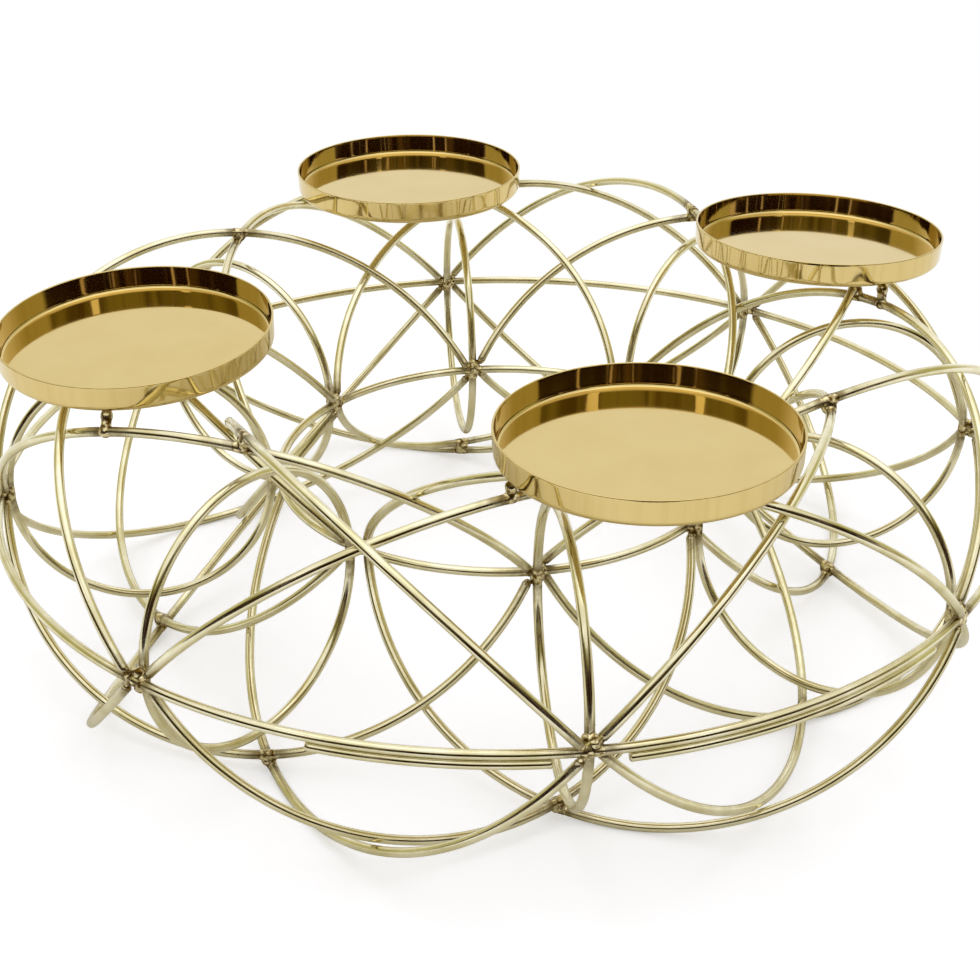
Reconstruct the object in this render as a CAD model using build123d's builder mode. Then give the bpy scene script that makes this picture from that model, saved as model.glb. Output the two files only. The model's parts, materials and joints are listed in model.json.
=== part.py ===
from build123d import *
import os
from math import cos, degrees, radians, sin, sqrt

# A ring-shaped basket of welded wire that carries four candle pans.
# Lengths are in millimetres and angles in degrees. Z points up, and the table is at height zero.

# Wire
wire_diameter = 3.5
contact_gap = 0.12

# Rings, measured to the middle of the wire
outer_ring_radius = 198.0
inner_ring_radius = 89.0
joint_count = 8
first_joint_azimuth = -82.0

# Petals, the arched wires, measured to the middle of the wire and up or down from the plane of the rings
petal_joints = 2
petal_crown_radius = 157.3
petal_crown_turn = 34.0
petal_crown_height = 65.8

# Places of a petal's crown and ends in its layer, as shares of the wire's diameter
crown_shift_shares = {"under": -0.58, "over": 0.58}
outer_end_shares = {"under": -0.66, "over": 0.34}
inner_end_shares = {"under": 0.82, "over": -0.57}
end_height_share = 0.86
end_side_share = 1.04

# Second wire under the front of the outer ring, in two lengths
doubler_start_azimuths = (-108.0, -78.5)
doubler_turn_angles = (22.5, 36.0)

# Candle pans, each on an over petal and set by hand, two of them leaning a little
pan_radius = 50.0
pan_height = 9.5
pan_wall = 0.8
pan_corner_radius = 1.9
pan_rim_radius = 0.3
pan_circle_radius = 140.0
pan_azimuths = (-70.5, 22.0, 107.2, 199.5)
pan_lean_angles = (0.0, 3.3, 0.0, 3.5)
pan_lean_azimuths = (0.0, 56.0, 0.0, -110.0)
pan_carrier_joints = (1, 3, 5, 7)
pan_weld_joints = (7, 1, 3, 6)

# Weld beads
joint_bead_radius = 3.4
joint_bead_inset_share = 0.34
joint_bead_height_share = 0.86
crossing_bead_radius = 2.9
pan_weld_radius = 2.6

wire_radius = wire_diameter / 2
joint_turn = 360 / joint_count
petal_turn = petal_joints * joint_turn
pan_count = len(pan_azimuths)
pan_seat_radius = pan_radius - pan_corner_radius
hoop_circle_radius = (outer_ring_radius + inner_ring_radius) / 2
hoop_radius = (outer_ring_radius - inner_ring_radius) / 2 - wire_diameter - contact_gap
hands = {"under": 1, "over": -1}
sides = ("top", "bottom")
up = Vector(0, 0, 1)

os.makedirs("parts", exist_ok=True)


def polar_point(radius, azimuth, height=0):
    """Point at a distance from the upright axis, an azimuth and a height."""
    return Vector(radius * cos(radians(azimuth)), radius * sin(radians(azimuth)), height)


def joint_azimuth(joint):
    """Azimuth of a joint place, where a hoop and the petals' ends meet the rings."""
    return first_joint_azimuth + joint * joint_turn


def crown_arc(layer, joint):
    """Middle line of a top petal that starts at a joint, with the rings at height zero."""
    start = joint_azimuth(joint)
    hand = hands[layer]
    outer_radius = outer_ring_radius + outer_end_shares[layer] * wire_diameter
    inner_radius = inner_ring_radius + inner_end_shares[layer] * wire_diameter
    crown_height = petal_crown_height + crown_shift_shares[layer] * wire_diameter
    end_height = end_height_share * wire_diameter
    outer_side = degrees(end_side_share * wire_diameter / outer_radius)
    inner_side = degrees(end_side_share * wire_diameter / inner_radius)
    return Edge.make_three_point_arc(
        polar_point(outer_radius, start + hand * outer_side, end_height),
        polar_point(petal_crown_radius, start + hand * petal_crown_turn, crown_height),
        polar_point(inner_radius, start + hand * (petal_turn - inner_side), end_height),
    )


def wire_reach(arc, direction):
    """How far the wire round a circular arc reaches along a direction, from the origin."""
    across = arc.normal().dot(direction)
    return arc.arc_center.dot(direction) + arc.radius * sqrt(1 - across * across) + wire_radius


mid_height = wire_reach(crown_arc("over", 0), up)
mid_plane = Plane.XY.offset(mid_height)


def petal_arc(side, layer, joint):
    """Middle line of a petal in its place. The bottom petals mirror the top ones."""
    arc = crown_arc(layer, joint)
    if side == "bottom":
        arc = arc.mirror(Plane.XY)
    return arc.moved(Location(mid_plane.origin))


def pan_plane(number):
    """Plane of a pan's underside, tangent to the over petal that carries it."""
    lean = radians(pan_lean_angles[number])
    normal = polar_point(sin(lean), pan_lean_azimuths[number], cos(lean))
    carrier = petal_arc("top", "over", pan_carrier_joints[number])
    middle = polar_point(pan_circle_radius, pan_azimuths[number])
    height = (wire_reach(carrier, normal) + contact_gap - middle.dot(normal)) / normal.Z
    return Plane(origin=middle + up * height, z_dir=normal)


def bead(place, radius, *neighbours):
    """Weld bead: a ball of metal that fills the corner between its neighbours."""
    with BuildPart() as weld:
        with Locations(place):
            Sphere(radius)
        for neighbour in neighbours:
            add(neighbour, mode=Mode.SUBTRACT)
    return weld.solids().sort_by(SortBy.VOLUME)[-1]


def pan_weld(number):
    """Weld under a pan's edge: a short column of metal on the under petal that passes there."""
    underside = pan_plane(number)
    seat_edge = Edge.make_circle(pan_seat_radius, underside)
    weld_arc = petal_arc("top", "under", pan_weld_joints[number])
    gap, wire_point, edge_point = weld_arc.distance_to_with_closest_points(seat_edge)
    with BuildPart() as weld:
        with BuildSketch(Plane(origin=wire_point, z_dir=edge_point - wire_point)):
            Circle(pan_weld_radius)
        extrude(amount=gap + pan_weld_radius)
        split(bisect_by=underside, keep=Keep.BOTTOM)
    return weld.part


def write(builder, name):
    """Label a finished piece, write its file and return its solid."""
    builder.part.label = name
    export_step(builder.part, f"parts/{name}.step")
    return builder.part


# Outer and inner ring
rings = {}
for name, radius in {"outer_ring": outer_ring_radius, "inner_ring": inner_ring_radius}.items():
    with BuildPart(mid_plane) as ring:
        Torus(radius, wire_radius)
    rings[name] = write(ring, name)

# Second wire that lies under the outer ring at the front
for number, (start, turn) in enumerate(zip(doubler_start_azimuths, doubler_turn_angles), 1):
    start_plane = Plane(mid_plane.origin, x_dir=polar_point(1, start), z_dir=polar_point(1, start - 90))
    with BuildPart() as doubler:
        with BuildSketch(start_plane):
            with Locations((outer_ring_radius, -wire_diameter - contact_gap)):
                Circle(wire_radius)
        revolve(axis=Axis.Z, revolution_arc=turn)
    write(doubler, f"ring_doubler_{number}")

# Upright hoops between the rings
hoops = []
for joint in range(joint_count):
    azimuth = joint_azimuth(joint)
    hoop_middle = polar_point(hoop_circle_radius, azimuth, mid_height)
    hoop_plane = Plane(hoop_middle, x_dir=polar_point(1, azimuth), z_dir=polar_point(1, azimuth + 90))
    with BuildPart(hoop_plane) as hoop:
        Torus(hoop_radius, wire_radius)
    hoops.append(write(hoop, f"upright_hoop_{joint + 1}"))

# Petals over the top and under the bottom, in two layers of opposite hand
petals = {}
for side in sides:
    for layer in hands:
        for joint in range(joint_count):
            arc = petal_arc(side, layer, joint)
            with BuildPart() as petal:
                with BuildLine():
                    add(arc)
                with BuildSketch(Plane(origin=arc @ 0, z_dir=arc % 0)):
                    Circle(wire_radius)
                sweep()
            petals[side, layer, joint] = write(petal, f"{side}_petal_{layer}_{joint + 1}")

# Candle pans
for number in range(pan_count):
    underside = pan_plane(number)
    pan_axis = Axis(underside.origin, underside.z_dir)
    with BuildPart() as pan:
        with BuildSketch(underside):
            Circle(pan_radius)
        extrude(amount=pan_height)
        fillet(pan.faces().sort_by(pan_axis)[0].edges(), radius=pan_corner_radius)
        offset(amount=-pan_wall, openings=pan.faces().sort_by(pan_axis)[-1])
        fillet(pan.faces().sort_by(pan_axis)[-1].edges(), radius=pan_rim_radius)
    write(pan, f"candle_pan_{number + 1}")

# Welds at the joint places on the two rings, above and below the ring
joint_bead_height = mid_height + joint_bead_height_share * wire_diameter
joint_bead_inset = joint_bead_inset_share * wire_diameter
outer_place = polar_point(outer_ring_radius - joint_bead_inset, joint_azimuth(0), joint_bead_height)
outer_bead = bead(
    outer_place,
    joint_bead_radius,
    rings["outer_ring"],
    hoops[0],
    petals["top", "under", 0],
    petals["top", "over", 0],
)
inner_place = polar_point(inner_ring_radius + joint_bead_inset, joint_azimuth(0), joint_bead_height)
inner_bead = bead(
    inner_place,
    joint_bead_radius,
    rings["inner_ring"],
    hoops[0],
    petals["top", "under", -petal_joints % joint_count],
    petals["top", "over", petal_joints],
)
for name, joint_bead in {"outer_joint_welds": outer_bead, "inner_joint_welds": inner_bead}.items():
    with BuildPart() as joint_welds:
        with PolarLocations(0, joint_count):
            add(joint_bead)
        mirror(about=mid_plane)
    write(joint_welds, name)

# Welds where the two layers of petals cross on top and underneath
under_arc = petal_arc("top", "under", 0)
over_arc = petal_arc("top", "over", petal_joints)
crossing_distance, under_point, over_point = under_arc.distance_to_with_closest_points(over_arc)
crossing_bead = bead(
    (under_point + over_point) / 2,
    crossing_bead_radius,
    petals["top", "under", 0],
    petals["top", "over", petal_joints],
)
with BuildPart() as crossing_welds:
    with PolarLocations(0, joint_count):
        add(crossing_bead)
    mirror(about=mid_plane)
write(crossing_welds, "petal_crossing_welds")

# Welds under the pans' edges
pan_columns = [pan_weld(number) for number in range(pan_count)]
with BuildPart() as pan_welds:
    add(pan_columns)
    for layer in hands:
        for joint in range(joint_count):
            add(petals["top", layer, joint], mode=Mode.SUBTRACT)
    add(crossing_welds.part, mode=Mode.SUBTRACT)
write(pan_welds, "pan_welds")

print("plane of the rings at", mid_height, "petal radius", over_arc.radius)
print("petal layers apart at the crossing", crossing_distance - wire_diameter)
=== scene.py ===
import json
import math

import bmesh
import bpy
import numpy as np
from mathutils import Euler, Matrix, Vector


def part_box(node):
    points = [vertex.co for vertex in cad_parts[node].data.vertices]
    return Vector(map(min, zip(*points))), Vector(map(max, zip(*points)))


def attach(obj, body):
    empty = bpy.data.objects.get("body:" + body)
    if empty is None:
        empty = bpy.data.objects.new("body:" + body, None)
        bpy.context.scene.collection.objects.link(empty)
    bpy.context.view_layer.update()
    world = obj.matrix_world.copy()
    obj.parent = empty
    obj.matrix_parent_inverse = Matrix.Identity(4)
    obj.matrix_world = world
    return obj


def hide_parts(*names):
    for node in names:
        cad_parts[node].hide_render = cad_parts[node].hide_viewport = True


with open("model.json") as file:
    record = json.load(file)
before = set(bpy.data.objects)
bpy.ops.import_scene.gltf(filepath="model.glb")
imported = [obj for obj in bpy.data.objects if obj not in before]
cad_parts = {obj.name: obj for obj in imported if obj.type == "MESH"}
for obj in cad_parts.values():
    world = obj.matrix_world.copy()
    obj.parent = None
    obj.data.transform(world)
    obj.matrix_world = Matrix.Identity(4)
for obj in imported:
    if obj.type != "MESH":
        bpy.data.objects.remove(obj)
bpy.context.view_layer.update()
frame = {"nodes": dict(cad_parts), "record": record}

# A ring-shaped basket of welded, brass-plated wire that carries four polished candle pans.
# Lengths are in metres, so sizes in millimetres are written as a number times mm. Z points up.
mm = 0.001
up = np.array((0.0, 0.0, 1.0))

# Rings and wire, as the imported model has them
ring_low, ring_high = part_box("outer_ring")
inner_low, inner_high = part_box("inner_ring")
wire_radius = (ring_high.z - ring_low.z) / 2
wire_diameter = 2 * wire_radius
ring_height = (ring_high.z + ring_low.z) / 2
outer_ring_radius = (ring_high.x - ring_low.x) / 2 - wire_radius
inner_ring_radius = (inner_high.x - inner_low.x) / 2 - wire_radius
contact_gap = 0.12 * mm
joint_count = 8
first_joint_azimuth = -82.0
joint_turn = 360 / joint_count

# Petals, the arched wires, from the plane of the rings, with their layers as shares of the wire's diameter
petal_turn = 2 * joint_turn
petal_crown_radius = 157.3 * mm
petal_crown_turn = 34.0
petal_crown_height = 65.8 * mm
crown_shift_shares = {"under": -0.58, "over": 0.58}
outer_end_shares = {"under": -0.66, "over": 0.34}
inner_end_shares = {"under": 0.82, "over": -0.57}
end_height_share = 0.86
end_side_share = 1.04
hands = {"under": 1, "over": -1}
sides = {"top": 1, "bottom": -1}

# Second wire under the front of the outer ring
doubler_start_azimuths = (-108.0, -78.5)
doubler_turn_angles = (22.5, 36.0)

# How the wire is meshed, and how it is out of round: the length of each ripple and its lobes round the wire
wire_sides = 24
wire_step = 1.6 * mm
wire_unevenness = 0.035 * mm
wire_ripples = ((11.0 * mm, 2), (19.0 * mm, 1), (37.0 * mm, 3))
cut_end_bevel = 0.35 * mm
sharp_edge_angle = 50.0

# Candle pans: pressed from sheet, with faint upright waves in the wall and a nearly flat floor
pan_mounts = {mount["name"]: mount for mount in frame["record"]["mounts"]}
pan_numbers = range(1, len(pan_mounts) + 1)
pan_low, pan_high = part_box("candle_pan_1")
pan_radius = (pan_high.x - pan_low.x) / 2
pan_height = pan_high.z - pan_low.z
pan_wall = 0.8 * mm
pan_corner_radius = 1.9 * mm
pan_floor_corner_radius = 1.4 * mm
pan_rim_radius = 0.3 * mm
pan_draft = 0.4 * mm
pan_segments = 480
pan_wall_waves = (13, 22, 37, 51)
pan_wave_depth = 0.03 * mm
pan_floor_rings = 24
pan_floor_wave = 0.02 * mm
pan_floor_wave_length = 46.0 * mm
corner_steps = 8
wall_steps = 10

# Welds: drops of metal that flow together and out along the wires, in a bead or in a post under a pan
weld_nodes = ("outer_joint_welds", "inner_joint_welds", "petal_crossing_welds", "pan_welds")
weld_reach = 15.0 * mm
weld_drops = 14
drop_subdivisions = 2
bead_drop_radii = (1.4 * mm, 2.1 * mm)
bead_spread_share = 0.5
post_petals = (8, 2, 4, 7)
post_waist = 1.8 * mm
post_flare = 0.5 * mm
post_unevenness = 0.2 * mm
post_head_drop = 1.8 * mm
weld_flow_reach = 6.0 * mm
weld_flow_step = 0.7 * mm
weld_swell = 0.45 * mm
weld_sink = 0.4 * mm
weld_voxel = 0.3 * mm
weld_smoothing = 16
weld_heat_reach = 9.0 * mm

# Paper floor: where its shadow begins to fade and is gone, its edges, and its gap under the piece
shadow_reach = 0.20
plain_reach = 0.42
front_edge = -0.45
far_edge = 6.0
floor_gap = 0.05 * mm

# Lamps: place and side in metres, power in watts
lamps = {
    "lamp_top": ((0.0, 0.0, 2.2), 2.0, 5.0),
    "window_left": ((-0.89, -1.01, 0.92), 0.2, 0.13),
    "window_right": ((0.89, -1.10, 0.92), 0.2, 0.13),
}

# Camera of the photograph: angles in degrees, frame width and lens in the camera's own millimetres
camera_place = (0.0, -635.6 * mm, 396.0 * mm)
camera_pitch = 28.15
camera_yaw = -0.42
camera_roll = -0.30
camera_frame_width = 36.0
camera_lens = 64.82


def polar_point(radius, azimuth, height=0.0):
    """Point at a distance from the upright axis, an azimuth in degrees and a height."""
    angle = math.radians(azimuth)
    return np.array((radius * math.cos(angle), radius * math.sin(angle), height))


def unit(vector):
    """The vector at length one."""
    return vector / np.linalg.norm(vector)


def full_turn(count):
    """Angles of a number of even steps round a full turn."""
    return np.arange(count) * 2 * math.pi / count


def linear(hex_colour):
    """Linear colour, with full alpha, of an sRGB hex value."""
    shares = [int(hex_colour[at:at + 2], 16) / 255 for at in (1, 3, 5)]
    return [s / 12.92 if s <= 0.04045 else ((s + 0.055) / 1.055) ** 2.4 for s in shares] + [1.0]


def add_node(tree, kind, inputs=(), **settings):
    """Add a node, change its settings, and fill or link its inputs by name or number."""
    node = tree.nodes.new(kind)
    for name, value in settings.items():
        setattr(node, name, value)
    for name, value in dict(inputs).items():
        if isinstance(value, bpy.types.NodeSocket):
            tree.links.new(value, node.inputs[name])
        else:
            node.inputs[name].default_value = value
    return node


def blank_material(name):
    """A material with no nodes yet, and its node tree."""
    material = bpy.data.materials.new(name)
    material.use_nodes = True
    material.node_tree.nodes.clear()
    return material, material.node_tree


# Middle lines of the wires: each is a circle or an arc with a middle, two axes, a start and a turn


def circle_line(middle, radius, first, second, start=0.0, turn=2 * math.pi):
    """A bent wire's middle line, turning from the first axis towards the second."""
    return {
        "middle": middle,
        "radius": radius,
        "first": first,
        "second": second,
        "start": start,
        "turn": turn,
        "closed": turn >= 2 * math.pi,
    }


def arc_through(begin, crown, end):
    """The arc from one point through a second to a third."""
    to_crown = crown - begin
    to_end = end - begin
    across = np.cross(to_crown, to_end)
    lift = np.cross(across, to_crown) * to_end.dot(to_end)
    lift = lift + np.cross(to_end, across) * to_crown.dot(to_crown)
    from_begin = lift / (2 * across.dot(across))
    radius = np.linalg.norm(from_begin)
    first = -from_begin / radius
    second = np.cross(unit(across), first)
    middle = begin + from_begin
    turn = math.atan2((end - middle).dot(second), (end - middle).dot(first)) % (2 * math.pi)
    return circle_line(middle, radius, first, second, 0.0, turn)


def petal_line(side, layer, joint):
    """Middle line of a petal that starts at a joint."""
    start = first_joint_azimuth + joint * joint_turn
    hand = hands[layer]
    outer_radius = outer_ring_radius + outer_end_shares[layer] * wire_diameter
    inner_radius = inner_ring_radius + inner_end_shares[layer] * wire_diameter
    crown_height = petal_crown_height + crown_shift_shares[layer] * wire_diameter
    end_height = end_height_share * wire_diameter
    outer_side = math.degrees(end_side_share * wire_diameter / outer_radius)
    inner_side = math.degrees(end_side_share * wire_diameter / inner_radius)
    places = (
        polar_point(outer_radius, start + hand * outer_side, end_height),
        polar_point(petal_crown_radius, start + hand * petal_crown_turn, crown_height),
        polar_point(inner_radius, start + hand * (petal_turn - inner_side), end_height),
    )
    mirror = np.array((1.0, 1.0, sides[side]))
    return arc_through(*(place * mirror + up * ring_height for place in places))


ring_middle = up * ring_height
east = polar_point(1.0, 0.0)
north = polar_point(1.0, 90.0)
lines = {
    "outer_ring": circle_line(ring_middle, outer_ring_radius, east, north),
    "inner_ring": circle_line(ring_middle, inner_ring_radius, east, north),
}
doubler_middle = ring_middle - up * (wire_diameter + contact_gap)
for number, (start, turn) in enumerate(zip(doubler_start_azimuths, doubler_turn_angles), 1):
    lines[f"ring_doubler_{number}"] = circle_line(
        doubler_middle, outer_ring_radius, east, north, math.radians(start), math.radians(turn)
    )
hoop_circle_radius = (outer_ring_radius + inner_ring_radius) / 2
hoop_radius = (outer_ring_radius - inner_ring_radius) / 2 - wire_diameter - contact_gap
for joint in range(joint_count):
    azimuth = first_joint_azimuth + joint * joint_turn
    hoop_middle = polar_point(hoop_circle_radius, azimuth, ring_height)
    outward = polar_point(1.0, azimuth)
    lines[f"upright_hoop_{joint + 1}"] = circle_line(hoop_middle, hoop_radius, outward, up)
    for side in sides:
        for layer in hands:
            lines[f"{side}_petal_{layer}_{joint + 1}"] = petal_line(side, layer, joint)


def line_stations(line, step):
    """Points along a middle line, the outward direction at each, and the length passed."""
    length = line["radius"] * line["turn"]
    count = math.ceil(length / step)
    shares = np.arange(count + (not line["closed"])) / count
    angles = line["start"] + line["turn"] * shares
    outward = np.outer(np.cos(angles), line["first"]) + np.outer(np.sin(angles), line["second"])
    return line["middle"] + line["radius"] * outward, outward, length * shares


fine_stations = {node: line_stations(line, weld_flow_step)[0] for node, line in lines.items()}


# Places of the welds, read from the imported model


def node_points(name):
    """Corner points of a CAD node."""
    mesh = frame["nodes"][name].data
    points = np.empty(3 * len(mesh.vertices))
    mesh.vertices.foreach_get("co", points)
    return points.reshape(-1, 3)


def weld_clumps(name):
    """The corner points of each separate bead in a weld node."""
    points = node_points(name)
    separate = []
    while len(points):
        near = np.linalg.norm(points - points[0], axis=1) < weld_reach
        separate.append(points[near])
        points = points[~near]
    return separate


def clump_middle(clump):
    """Middle of the box round a bead's corner points."""
    return (clump.min(axis=0) + clump.max(axis=0)) / 2


clumps = {name: weld_clumps(name) for name in weld_nodes}
weld_places = np.array([clump_middle(clump) for name in clumps for clump in clumps[name]])


# Materials


def finish_metal(tree, colour, roughness, relief, strength, depth):
    """End a metal's nodes: its colour, its roughness and a shallow relief go to the surface."""
    bump = add_node(tree, "ShaderNodeBump", {"Height": relief, "Strength": strength, "Distance": depth})
    shader = add_node(
        tree,
        "ShaderNodeBsdfPrincipled",
        {"Base Color": colour, "Metallic": 1.0, "Roughness": roughness, "Normal": bump.outputs[0]},
    )
    add_node(tree, "ShaderNodeOutputMaterial", {"Surface": shader.outputs[0]})


def plated_wire_material():
    """Drawn steel wire, bent and welded, then brass plated and buffed.

    The eye sees a bright pale brass with long soft streaks of reflection, a little uneven where the plating
    is thinner, and dull brown stains where the welding heat marked the steel.
    """
    pale_brass, olive_brass, heat_brown = linear("#F3EDCF"), linear("#DDD4A8"), linear("#6A521C")
    plating_patch = 16 * mm
    buffing_patch = 4 * mm
    ripple_length, ripple_depth, ripple_strength = 5 * mm, 0.05 * mm, 0.3
    buffed_roughness, dull_roughness, stain_roughness = 0.10, 0.22, 0.3
    material, tree = blank_material("brass_plated_drawn_wire")
    place = add_node(tree, "ShaderNodeTexCoord").outputs["Object"]
    patches = add_node(
        tree, "ShaderNodeTexNoise", {"Vector": place, "Scale": 1 / plating_patch, "Detail": 3.0}
    )
    plating = add_node(
        tree, "ShaderNodeMapRange", {"Value": patches.outputs[0], "From Min": 0.38, "From Max": 0.66}
    )
    brass = add_node(
        tree, "ShaderNodeMix", {0: plating.outputs[0], 6: pale_brass, 7: olive_brass}, data_type="RGBA"
    )
    buffing = add_node(
        tree, "ShaderNodeTexNoise", {"Vector": place, "Scale": 1 / buffing_patch, "Detail": 4.0}
    )
    heat = add_node(tree, "ShaderNodeAttribute", attribute_name="weld_heat")
    burn = add_node(
        tree,
        "ShaderNodeMapRange",
        {"Value": buffing.outputs[0], "From Min": 0.35, "From Max": 0.6, "To Min": 0.4, "To Max": 1.0},
    )
    stain = add_node(
        tree, "ShaderNodeMath", {0: heat.outputs["Fac"], 1: burn.outputs[0]}, operation="MULTIPLY"
    )
    colour = add_node(
        tree, "ShaderNodeMix", {0: stain.outputs[0], 6: brass.outputs[2], 7: heat_brown}, data_type="RGBA"
    )
    gloss = add_node(
        tree,
        "ShaderNodeMapRange",
        {
            "Value": buffing.outputs[0],
            "From Min": 0.3,
            "From Max": 0.7,
            "To Min": buffed_roughness,
            "To Max": dull_roughness,
        },
    )
    dulled = add_node(
        tree,
        "ShaderNodeMath",
        {0: stain.outputs[0], 1: stain_roughness, 2: gloss.outputs[0]},
        operation="MULTIPLY_ADD",
    )
    ripples = add_node(
        tree, "ShaderNodeTexNoise", {"Vector": place, "Scale": 1 / ripple_length, "Detail": 2.0}
    )
    finish_metal(
        tree, colour.outputs[2], dulled.outputs[0], ripples.outputs[0], ripple_strength, ripple_depth
    )
    return material


def plated_pan_material():
    """Steel sheet pressed to a cup, brass plated and polished to a mirror.

    The eye sees clear reflections in a deeper brass, fine upright draw marks on the wall and a faint haze
    of wiping on the floor.
    """
    bright_brass, warm_brass, draw_brown = linear("#DFC98B"), linear("#D5BC79"), linear("#B0924F")
    haze_patch = 22 * mm
    draw_mark = 2.6 * mm
    marks_start_inset, marks_full_inset = 1.6 * mm, 1.0 * mm
    scratch_width, scratch_depth, scratch_strength = 0.8 * mm, 0.02 * mm, 0.05
    mirror_roughness, haze_roughness = 0.045, 0.085
    material, tree = blank_material("brass_plated_polished_sheet")
    place = add_node(tree, "ShaderNodeAttribute", attribute_name="pan_place").outputs["Vector"]
    haze = add_node(tree, "ShaderNodeTexNoise", {"Vector": place, "Scale": 1 / haze_patch, "Detail": 5.0})
    brass = add_node(
        tree, "ShaderNodeMix", {0: haze.outputs[0], 6: bright_brass, 7: warm_brass}, data_type="RGBA"
    )
    flat = add_node(tree, "ShaderNodeVectorMath", {0: place, 1: (1.0, 1.0, 0.0)}, operation="MULTIPLY")
    reach = add_node(tree, "ShaderNodeVectorMath", {0: flat.outputs[0]}, operation="LENGTH")
    wall = add_node(
        tree,
        "ShaderNodeMapRange",
        {
            "Value": reach.outputs["Value"],
            "From Min": pan_radius - marks_start_inset,
            "From Max": pan_radius - marks_full_inset,
        },
    )
    marks = add_node(
        tree, "ShaderNodeTexNoise", {"Vector": flat.outputs[0], "Scale": 1 / draw_mark, "Detail": 3.0}
    )
    streak = add_node(
        tree,
        "ShaderNodeMapRange",
        {"Value": marks.outputs[0], "From Min": 0.45, "From Max": 0.85, "To Max": 0.25},
    )
    drawn = add_node(
        tree, "ShaderNodeMath", {0: streak.outputs[0], 1: wall.outputs[0]}, operation="MULTIPLY"
    )
    colour = add_node(
        tree, "ShaderNodeMix", {0: drawn.outputs[0], 6: brass.outputs[2], 7: draw_brown}, data_type="RGBA"
    )
    gloss = add_node(
        tree,
        "ShaderNodeMapRange",
        {
            "Value": haze.outputs[0],
            "From Min": 0.3,
            "From Max": 0.7,
            "To Min": mirror_roughness,
            "To Max": haze_roughness,
        },
    )
    scratches = add_node(
        tree, "ShaderNodeTexNoise", {"Vector": place, "Scale": 1 / scratch_width, "Detail": 2.0}
    )
    finish_metal(
        tree, colour.outputs[2], gloss.outputs[0], scratches.outputs[0], scratch_strength, scratch_depth
    )
    return material


def plated_weld_material():
    """Arc weld metal, plated with the wires but never buffed inside its creases.

    The eye sees shiny pale drops with dull brown scale between them.
    """
    drop_brass, scale_brown = linear("#E8DBAE"), linear("#64490F")
    drop_width = 1.8 * mm
    ripple_length, ripple_depth, ripple_strength = 1.1 * mm, 0.1 * mm, 0.25
    drop_roughness, scale_roughness = 0.16, 0.4
    material, tree = blank_material("brass_plated_weld_metal")
    place = add_node(tree, "ShaderNodeTexCoord").outputs["Object"]
    drops = add_node(tree, "ShaderNodeTexNoise", {"Vector": place, "Scale": 1 / drop_width, "Detail": 3.0})
    scale = add_node(
        tree, "ShaderNodeMapRange", {"Value": drops.outputs[0], "From Min": 0.40, "From Max": 0.62}
    )
    colour = add_node(
        tree, "ShaderNodeMix", {0: scale.outputs[0], 6: drop_brass, 7: scale_brown}, data_type="RGBA"
    )
    gloss = add_node(
        tree,
        "ShaderNodeMapRange",
        {"Value": scale.outputs[0], "To Min": drop_roughness, "To Max": scale_roughness},
    )
    ripples = add_node(
        tree, "ShaderNodeTexNoise", {"Vector": place, "Scale": 1 / ripple_length, "Detail": 2.0}
    )
    finish_metal(
        tree, colour.outputs[2], gloss.outputs[0], ripples.outputs[0], ripple_strength, ripple_depth
    )
    return material


# Pieces


def place_piece(name, mesh, material, node):
    """Put a mesh in the scene as the piece that stands for a CAD node."""
    mesh.materials.append(material)
    piece = bpy.data.objects.new(name, mesh)
    bpy.context.collection.objects.link(piece)
    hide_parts(node)
    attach(piece, "root")


def loft_mesh(name, rings, closed):
    """A smooth mesh over rings of points, joined end to end where closed and capped at both ends if not."""
    ring_count, side_count = rings.shape[:2]
    spots = np.arange(ring_count * side_count).reshape(ring_count, side_count)
    ahead = np.roll(spots, -1, axis=0) if closed else spots[1:]
    behind = spots if closed else spots[:-1]
    quads = np.stack((behind, np.roll(behind, -1, axis=1), np.roll(ahead, -1, axis=1), ahead), axis=-1)
    faces = quads.reshape(-1, 4).tolist()
    if not closed:
        faces += [spots[0][::-1].tolist(), spots[-1].tolist()]
    mesh = bpy.data.meshes.new(name)
    mesh.from_pydata(rings.reshape(-1, 3).tolist(), [], faces)
    mesh.shade_smooth()
    mesh.set_sharp_from_angle(angle=math.radians(sharp_edge_angle))
    return mesh


def wire_piece(node, material, seed):
    """A bent wire, a little out of round, with bevelled cut ends where it isn't a closed ring."""
    line = lines[node]
    stations, outward, passed = line_stations(line, wire_step)
    chance = np.random.default_rng(seed)
    length = line["radius"] * line["turn"]
    angles = full_turn(wire_sides)
    ripple = np.zeros((len(stations), wire_sides))
    for ripple_length, lobes in wire_ripples:
        waves = round(length / ripple_length)
        phase = 2 * math.pi * (waves * passed / length + chance.random())
        ripple += np.cos(phase[:, None] + lobes * angles[None, :]) / len(wire_ripples)
    radii = wire_radius - wire_unevenness * (1 - ripple) / 2
    if not line["closed"]:
        ahead = stations[1] - stations[0]
        back = stations[-2] - stations[-1]
        tips = np.array((stations[0], stations[-1]))
        stations[0] = stations[0] + cut_end_bevel * unit(ahead)
        stations[-1] = stations[-1] + cut_end_bevel * unit(back)
        stations = np.vstack((tips[:1], stations, tips[1:]))
        outward = np.vstack((outward[:1], outward, outward[-1:]))
        radii = np.vstack((radii[:1] - cut_end_bevel, radii, radii[-1:] - cut_end_bevel))
    axis = np.cross(line["first"], line["second"])
    spokes = np.cos(angles)[None, :, None] * outward[:, None, :] + np.sin(angles)[None, :, None] * axis
    rings = stations[:, None, :] + radii[:, :, None] * spokes
    mesh = loft_mesh(f"bent_{node}", rings, line["closed"])
    distance = np.linalg.norm(stations[:, None, :] - weld_places[None, :, :], axis=2).min(axis=1)
    heat = np.exp(-((distance / weld_heat_reach) ** 2))
    mark = mesh.attributes.new("weld_heat", "FLOAT", "POINT")
    mark.data.foreach_set("value", np.repeat(heat, wire_sides))
    place_piece(f"bent_{node}", mesh, material, node)


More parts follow.
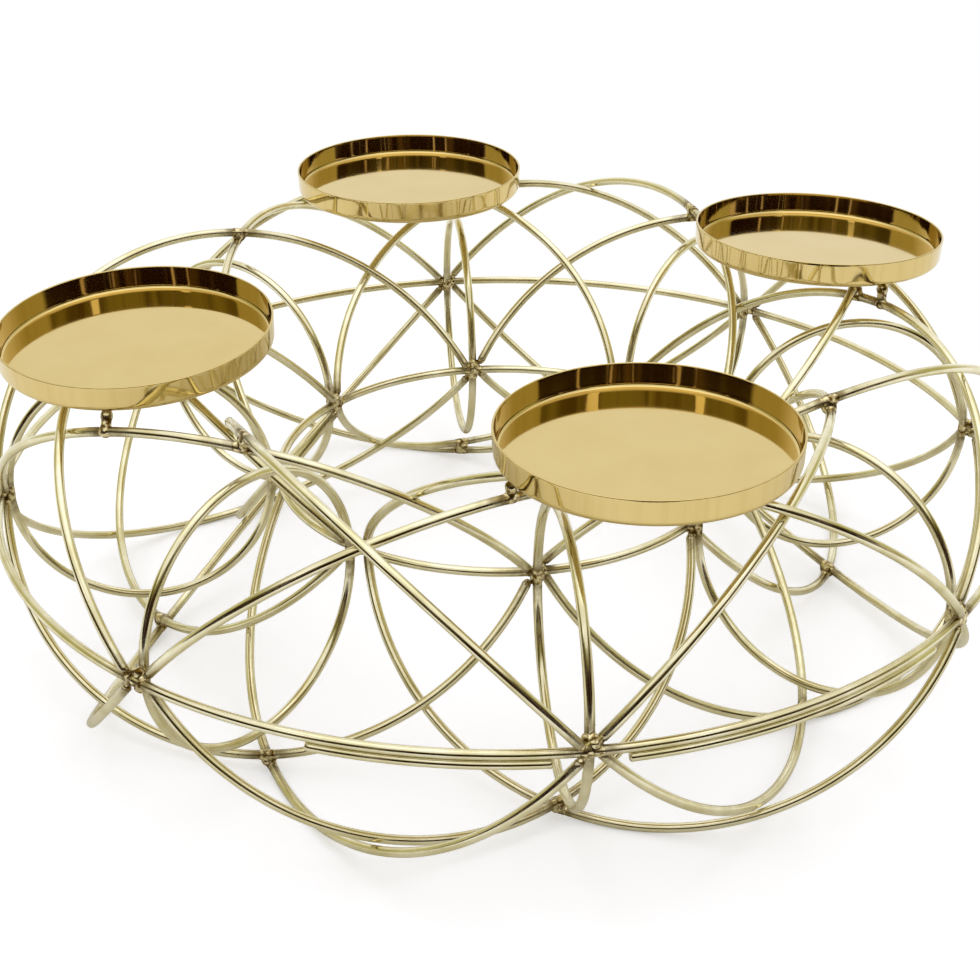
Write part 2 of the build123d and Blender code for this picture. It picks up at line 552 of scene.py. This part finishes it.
def quarter(middle_radius, middle_height, radius, start, end):
    """Points of a quarter round in a pan's section."""
    angles = np.radians(np.linspace(start, end, corner_steps + 1))
    return [(middle_radius + radius * math.cos(a), middle_height + radius * math.sin(a)) for a in angles]


def pan_section():
    """Half section of a pan, from the middle underneath, round the wall and rim, to the floor's middle."""
    inside = pan_radius - pan_wall
    floor_radius = inside - pan_floor_corner_radius
    corner_height = pan_wall + pan_floor_corner_radius
    floor_shares = np.linspace(0.0, 1.0, pan_floor_rings + 1)[1:]
    under = [((pan_radius - pan_corner_radius) * share, 0.0) for share in floor_shares[:-1]]
    outer_corner = quarter(pan_radius - pan_corner_radius, pan_corner_radius, pan_corner_radius, -90, 0)
    rim_middle = pan_height - pan_rim_radius
    outer_heights = np.linspace(pan_corner_radius, rim_middle, wall_steps + 1)
    outer_wall = [(pan_radius, height) for height in outer_heights[1:-1]]
    outer_rim = quarter(pan_radius - pan_rim_radius, rim_middle, pan_rim_radius, 0, 90)
    inner_rim = quarter(inside + pan_rim_radius, rim_middle, pan_rim_radius, 90, 180)
    inner_heights = np.linspace(rim_middle, corner_height, wall_steps + 1)
    inner_wall = [(inside, height) for height in inner_heights[1:-1]]
    floor_corner = quarter(floor_radius, corner_height, pan_floor_corner_radius, 0, -90)
    floor = [(floor_radius * share, pan_wall) for share in floor_shares[-2::-1]]
    section = np.array(
        under + outer_corner + outer_wall + outer_rim + inner_rim + inner_wall + floor_corner + floor
    )
    section[:, 0] -= pan_draft * (1 - section[:, 1] / pan_height) * section[:, 0] / pan_radius
    return section


def pan_seat(number):
    """Middle of a pan's underside, and the pan's own axes."""
    mount = pan_mounts[f"pan_{number}_inside"]
    axis = unit(np.array(mount["axis"]))
    if axis[2] < 0:
        axis = -axis
    middle = np.array(mount["pos_m"])
    base = middle + axis * ((node_points(f"candle_pan_{number}") - middle) @ axis).min()
    side = unit(np.cross(north, axis))
    return base, np.array((side, np.cross(axis, side), axis))


def pan_piece(number, material):
    """A pressed and polished pan in its place."""
    node = f"candle_pan_{number}"
    base, axes = pan_seat(number)
    section = pan_section()
    chance = np.random.default_rng(number)
    angles = full_turn(pan_segments)
    waves = sum(np.cos(2 * math.pi * chance.random() + count * angles) for count in pan_wall_waves)
    waves = waves / len(pan_wall_waves)
    on_wall = np.sqrt(np.clip((section[:, 1] - pan_wall) / (pan_height - pan_wall), 0.0, 1.0))
    on_wall = on_wall * (section[:, 0] > pan_radius - pan_corner_radius)
    radii = section[:, :1] + pan_wave_depth * on_wall[:, None] * (waves[None, :] - 1)
    across = radii * np.cos(angles)[None, :]
    along = radii * np.sin(angles)[None, :]
    turns = 2 * math.pi * chance.random(2)
    swell = np.cos(2 * math.pi * across / pan_floor_wave_length + turns[0])
    swell = swell * np.cos(2 * math.pi * along / pan_floor_wave_length + turns[1])
    on_floor = (section[:, 1] <= pan_wall) * np.clip(1 - section[:, 0] / pan_radius, 0.0, 1.0)
    heights = section[:, 1:] + pan_floor_wave * on_floor[:, None] * swell
    rings = np.stack((across, along, heights), axis=-1)
    mesh = loft_mesh(f"pressed_{node}", base + rings @ axes, False)
    mark = mesh.attributes.new("pan_place", "FLOAT_VECTOR", "POINT")
    mark.data.foreach_set("vector", rings.ravel())
    place_piece(f"pressed_{node}", mesh, material, node)


def bead_drops(clump, chance):
    """Places and radii of the drops that fill the middle of a bead."""
    spread = bead_spread_share * chance.uniform(-1.0, 1.0, (weld_drops, 3))
    spots = clump_middle(clump) + spread * (clump.max(axis=0) - clump.min(axis=0)) / 2
    return spots, chance.uniform(*bead_drop_radii, weld_drops)


def post_drops(number, chance):
    """Places and radii of the drops in the post from an under petal to the edge of a pan."""
    base, axes = pan_seat(number)
    angles = full_turn(pan_segments)
    spokes = np.stack((np.cos(angles), np.sin(angles)), axis=-1) @ axes[:2]
    seat = base + (pan_radius - pan_draft - pan_corner_radius) * spokes
    wire = fine_stations[f"top_petal_under_{post_petals[number - 1]}"]
    gaps = np.linalg.norm(seat[:, None, :] - wire[None, :, :], axis=2)
    seat_at, wire_at = np.unravel_index(gaps.argmin(), gaps.shape)
    foot, head = wire[wire_at], seat[seat_at] - post_head_drop * axes[2]
    shares = np.linspace(0.0, 1.0, weld_drops)
    radii = post_waist + post_flare * (2 * shares - 1) ** 2
    radii = radii + post_unevenness * chance.uniform(-1.0, 1.0, weld_drops)
    return foot + shares[:, None] * (head - foot), radii


def flow_drops(middle):
    """Places and radii of the drops that ran out along the wires beside a weld."""
    stations = np.vstack(list(fine_stations.values()))
    distance = np.linalg.norm(stations - middle, axis=1)
    near = distance < weld_flow_reach
    shares = (distance[near] / weld_flow_reach) ** 2
    return stations[near], wire_radius + weld_swell * (1 - shares) - weld_sink * shares


def weld_piece(node, material, seed):
    """The welds of one node, as drops that flowed together."""
    chance = np.random.default_rng(seed)
    groups = [flow_drops(clump_middle(clump)) for clump in clumps[node]]
    if node == "pan_welds":
        groups += [post_drops(number, chance) for number in pan_numbers]
    else:
        groups += [bead_drops(clump, chance) for clump in clumps[node]]
    drops = bmesh.new()
    for spots, radii in groups:
        for spot, radius in zip(spots, radii):
            bmesh.ops.create_icosphere(
                drops, subdivisions=drop_subdivisions, radius=radius, matrix=Matrix.Translation(spot)
            )
    blank_mesh = bpy.data.meshes.new(f"{node}_drops")
    drops.to_mesh(blank_mesh)
    drops.free()
    blank = bpy.data.objects.new(f"{node}_drops", blank_mesh)
    bpy.context.collection.objects.link(blank)
    fuse = blank.modifiers.new("fuse", "REMESH")
    fuse.mode = "VOXEL"
    fuse.voxel_size = weld_voxel
    fuse.use_smooth_shade = True
    flow = blank.modifiers.new("flow", "SMOOTH")
    flow.iterations = weld_smoothing
    fused = bpy.data.meshes.new_from_object(blank.evaluated_get(bpy.context.evaluated_depsgraph_get()))
    bpy.data.objects.remove(blank)
    fused.name = f"flowed_{node}"
    place_piece(f"flowed_{node}", fused, material, node)


wire_brass = plated_wire_material()
pan_brass = plated_pan_material()
weld_brass = plated_weld_material()
for seed, node in enumerate(lines):
    wire_piece(node, wire_brass, seed)
for number in pan_numbers:
    pan_piece(number, pan_brass)
for seed, node in enumerate(clumps):
    weld_piece(node, weld_brass, seed)


# Set: white paper under and behind the piece, a dark room in front, a soft lamp above and two dim windows


def paper_floor():
    """White paper that shows the shadow near the piece and is plain white further off.

    A glow that only the camera sees lifts the lit paper to white and leaves the shadow. The metal sees a
    greyer table, which ends in front of the piece where the dark room begins.
    """
    cool_paper, table_grey = linear("#EDEFFC"), linear("#E6E4DD")
    lit_glow = 0.40
    material, tree = blank_material("white_background_paper")
    place = add_node(tree, "ShaderNodeTexCoord").outputs["Object"]
    distance = add_node(tree, "ShaderNodeVectorMath", {0: place}, operation="LENGTH")
    ray = add_node(tree, "ShaderNodeLightPath")
    far = add_node(
        tree,
        "ShaderNodeMapRange",
        {"Value": distance.outputs["Value"], "From Min": shadow_reach, "From Max": plain_reach},
        interpolation_type="SMOOTHSTEP",
    )
    seen = add_node(
        tree,
        "ShaderNodeMath",
        {0: ray.outputs["Is Camera Ray"], 1: ray.outputs["Is Glossy Ray"]},
        operation="MAXIMUM",
    )
    plain = add_node(tree, "ShaderNodeMath", {0: seen.outputs[0], 1: far.outputs[0]}, operation="MULTIPLY")
    colour = add_node(
        tree,
        "ShaderNodeMix",
        {0: ray.outputs["Is Glossy Ray"], 6: cool_paper, 7: table_grey},
        data_type="RGBA",
    )
    paper = add_node(tree, "ShaderNodeBsdfDiffuse", {"Color": colour.outputs[2]})
    glow = add_node(
        tree, "ShaderNodeMath", {0: ray.outputs["Is Camera Ray"], 1: lit_glow}, operation="MULTIPLY"
    )
    glowing = add_node(tree, "ShaderNodeEmission", {"Strength": glow.outputs[0]})
    near = add_node(tree, "ShaderNodeAddShader", {0: paper.outputs[0], 1: glowing.outputs[0]})
    white = add_node(tree, "ShaderNodeEmission", {"Strength": 1.0})
    shader = add_node(
        tree, "ShaderNodeMixShader", {0: plain.outputs[0], 1: near.outputs[0], 2: white.outputs[0]}
    )
    add_node(tree, "ShaderNodeOutputMaterial", {"Surface": shader.outputs[0]})
    mesh = bpy.data.meshes.new("paper_floor")
    corners = [(-far_edge, front_edge), (far_edge, front_edge), (far_edge, far_edge), (-far_edge, far_edge)]
    mesh.from_pydata([(x, y, 0.0) for x, y in corners], [], [(0, 1, 2, 3)])
    mesh.materials.append(material)
    floor = bpy.data.objects.new("paper_floor", mesh)
    bpy.context.collection.objects.link(floor)
    floor.location.z = -floor_gap


def studio_world():
    """What the metal mirrors: white paper with tan sides behind the piece, and a dark room in front of it.

    The dark room has brown furniture with pale upright edges, an olive wall above it, and then the bright
    ceiling. The camera itself sees only white.
    """
    room_dark, room_brown, room_pale = linear("#24120E"), linear("#6A5230"), linear("#D8C6B4")
    wall_shade, wall_olive, ceiling_white = linear("#5A4A1C"), linear("#8E8746"), linear("#FFFDF8")
    side_tan, paper_white = linear("#C2BC89"), linear("#FFFFFF")
    furniture_stretch = (7.0, 1.0, 1.2)
    edge_stretch = (23.0, 2.0, 1.5)
    # Where each zone starts and is full, along a direction of length one: Y points behind the piece, Z up
    zones = {
        "behind": ("Y", -0.06, 0.02),
        "paper": ("Z", 0.70, 0.55),
        "wall": ("Z", 0.33, 0.45),
        "ceiling": ("Z", 0.50, 0.62),
    }
    paper_centre_start, paper_centre_full = 0.45, 0.85
    world = bpy.data.worlds.new("studio")
    bpy.context.scene.world = world
    world.use_nodes = True
    tree = world.node_tree
    tree.nodes.clear()
    toward = add_node(tree, "ShaderNodeTexCoord").outputs["Generated"]
    axes = add_node(tree, "ShaderNodeSeparateXYZ", {0: toward})
    shares = {}
    for zone, (axis, start, full) in zones.items():
        ramp = add_node(
            tree,
            "ShaderNodeMapRange",
            {"Value": axes.outputs[axis], "From Min": start, "From Max": full},
            interpolation_type="SMOOTHSTEP",
        )
        shares[zone] = ramp.outputs[0]
    upright = add_node(
        tree, "ShaderNodeVectorMath", {0: toward, 1: furniture_stretch}, operation="MULTIPLY"
    )
    things = add_node(
        tree, "ShaderNodeTexNoise", {"Vector": upright.outputs[0], "Scale": 1.0, "Detail": 3.0}
    )
    brown = add_node(
        tree, "ShaderNodeMapRange", {"Value": things.outputs[0], "From Min": 0.54, "From Max": 0.8}
    )
    furniture = add_node(
        tree, "ShaderNodeMix", {0: brown.outputs[0], 6: room_dark, 7: room_brown}, data_type="RGBA"
    )
    slim = add_node(tree, "ShaderNodeVectorMath", {0: toward, 1: edge_stretch}, operation="MULTIPLY")
    edges = add_node(tree, "ShaderNodeTexNoise", {"Vector": slim.outputs[0], "Scale": 1.0, "Detail": 0.0})
    pale = add_node(
        tree, "ShaderNodeMapRange", {"Value": edges.outputs[0], "From Min": 0.68, "From Max": 0.74}
    )
    room = add_node(
        tree, "ShaderNodeMix", {0: pale.outputs[0], 6: furniture.outputs[2], 7: room_pale}, data_type="RGBA"
    )
    patch = add_node(
        tree, "ShaderNodeMapRange", {"Value": things.outputs[0], "From Min": 0.35, "From Max": 0.6}
    )
    olive = add_node(
        tree, "ShaderNodeMix", {0: patch.outputs[0], 6: wall_shade, 7: wall_olive}, data_type="RGBA"
    )
    wall = add_node(
        tree,
        "ShaderNodeMix",
        {0: shares["wall"], 6: room.outputs[2], 7: olive.outputs[2]},
        data_type="RGBA",
    )
    front = add_node(
        tree,
        "ShaderNodeMix",
        {0: shares["ceiling"], 6: wall.outputs[2], 7: ceiling_white},
        data_type="RGBA",
    )
    centre = add_node(
        tree,
        "ShaderNodeMapRange",
        {"Value": axes.outputs["Y"], "From Min": paper_centre_start, "From Max": paper_centre_full},
    )
    back = add_node(
        tree, "ShaderNodeMix", {0: centre.outputs[0], 6: side_tan, 7: paper_white}, data_type="RGBA"
    )
    paper = add_node(
        tree, "ShaderNodeMath", {0: shares["behind"], 1: shares["paper"]}, operation="MULTIPLY"
    )
    mirrored = add_node(
        tree,
        "ShaderNodeMix",
        {0: paper.outputs[0], 6: front.outputs[2], 7: back.outputs[2]},
        data_type="RGBA",
    )
    ray = add_node(tree, "ShaderNodeLightPath")
    colour = add_node(
        tree,
        "ShaderNodeMix",
        {0: ray.outputs["Is Camera Ray"], 6: mirrored.outputs[2], 7: paper_white},
        data_type="RGBA",
    )
    light = add_node(tree, "ShaderNodeBackground", {"Color": colour.outputs[2], "Strength": 1.0})
    add_node(tree, "ShaderNodeOutputWorld", {"Surface": light.outputs[0]})


def soft_lamp(name, place, size, power):
    """A square soft lamp that points at the middle of the piece."""
    lamp = bpy.data.lights.new(name, "AREA")
    lamp.size = size
    lamp.energy = power
    holder = bpy.data.objects.new(name, lamp)
    holder.location = place
    aim = Vector(ring_middle) - Vector(place)
    holder.rotation_euler = aim.to_track_quat("-Z", "Y").to_euler()
    bpy.context.collection.objects.link(holder)


def photo_camera():
    """The camera where the photograph was taken from."""
    camera = bpy.data.cameras.new("photo_camera")
    camera.sensor_width = camera_frame_width
    camera.lens = camera_lens
    holder = bpy.data.objects.new("photo_camera", camera)
    aim = Euler((math.radians(90 - camera_pitch), 0.0, math.radians(-camera_yaw))).to_matrix()
    aim = aim @ Matrix.Rotation(math.radians(camera_roll), 3, "Z")
    holder.matrix_world = Matrix.Translation(camera_place) @ aim.to_4x4()
    bpy.context.collection.objects.link(holder)
    bpy.context.scene.camera = holder


paper_floor()
studio_world()
for name, (place, size, power) in lamps.items():
    soft_lamp(name, place, size, power)
photo_camera()
bpy.context.scene.view_settings.view_transform = "Standard"
